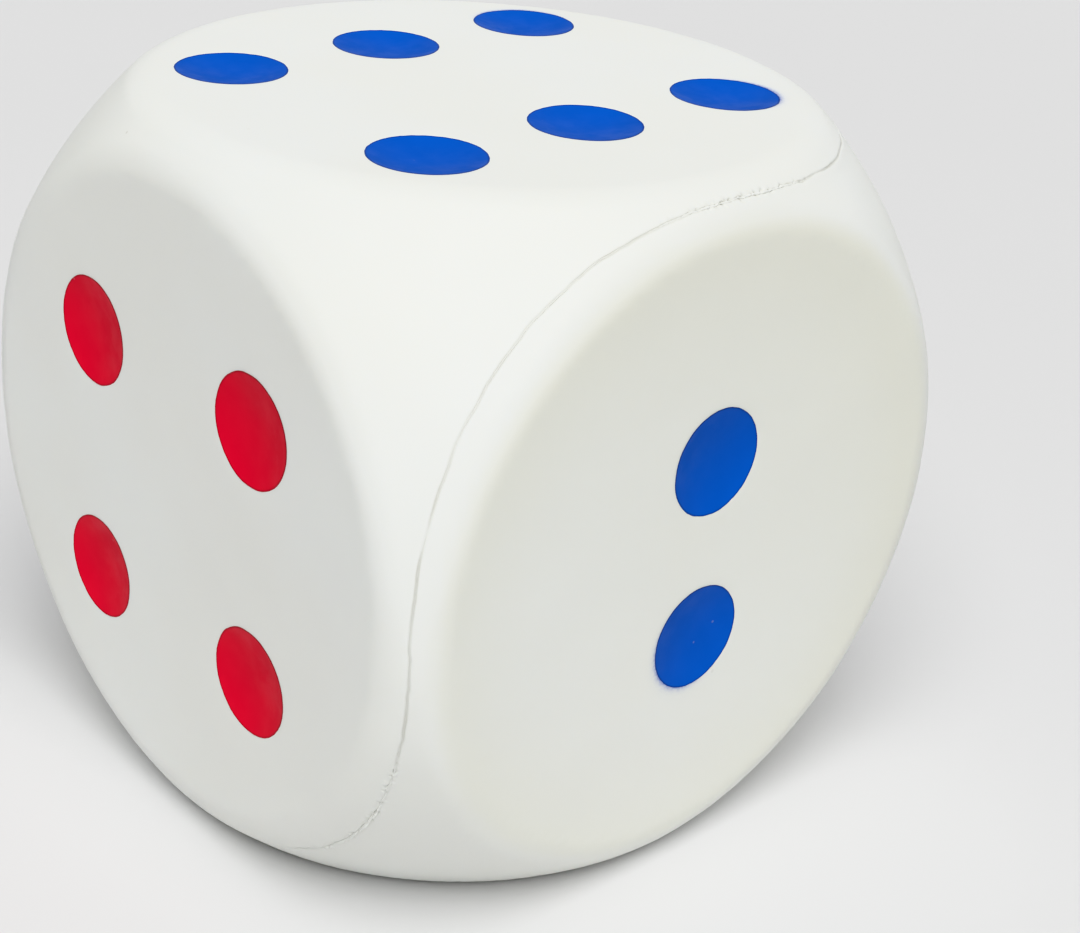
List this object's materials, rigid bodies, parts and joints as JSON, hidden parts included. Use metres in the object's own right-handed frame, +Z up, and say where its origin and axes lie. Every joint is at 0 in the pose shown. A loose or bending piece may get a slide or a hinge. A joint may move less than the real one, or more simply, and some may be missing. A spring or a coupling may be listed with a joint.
{
  "type": "foam die",
  "caption": "Large soft foam die for floor and lawn games: a white cube with rounded corners and edges and shallow painted pips.",
  "frame": {"origin": "middle of the face that carries the one, on the ground", "axes": "+Z up through the six; +X out through the two; -Y out through the four"},
  "size_m": [0.15, 0.15, 0.15],
  "materials": {
    "skin_white": "satin integral skin of moulded polyurethane foam",
    "foam_core": "matt open-cell polyurethane foam",
    "pip_red": "satin sprayed paint",
    "pip_blue": "satin sprayed paint"
  },
  "bodies": {
    "root": {"foam_core": "foam_core", "skin_half_four_five_six": "skin_white", "skin_half_two_three_one": "skin_white", "parting_flash": "skin_white", "pip_one": "pip_red", "pip_two_1": "pip_blue", "pip_two_2": "pip_blue", "pip_three_1": "pip_blue", "pip_three_2": "pip_blue", "pip_three_3": "pip_blue", "pip_four_1": "pip_red", "pip_four_2": "pip_red", "pip_four_3": "pip_red", "pip_four_4": "pip_red", "pip_five_1": "pip_blue", "pip_five_2": "pip_blue", "pip_five_3": "pip_blue", "pip_five_4": "pip_blue", "pip_five_5": "pip_blue", "pip_six_1": "pip_blue", "pip_six_2": "pip_blue", "pip_six_3": "pip_blue", "pip_six_4": "pip_blue", "pip_six_5": "pip_blue", "pip_six_6": "pip_blue"}
  },
  "joints": []
}
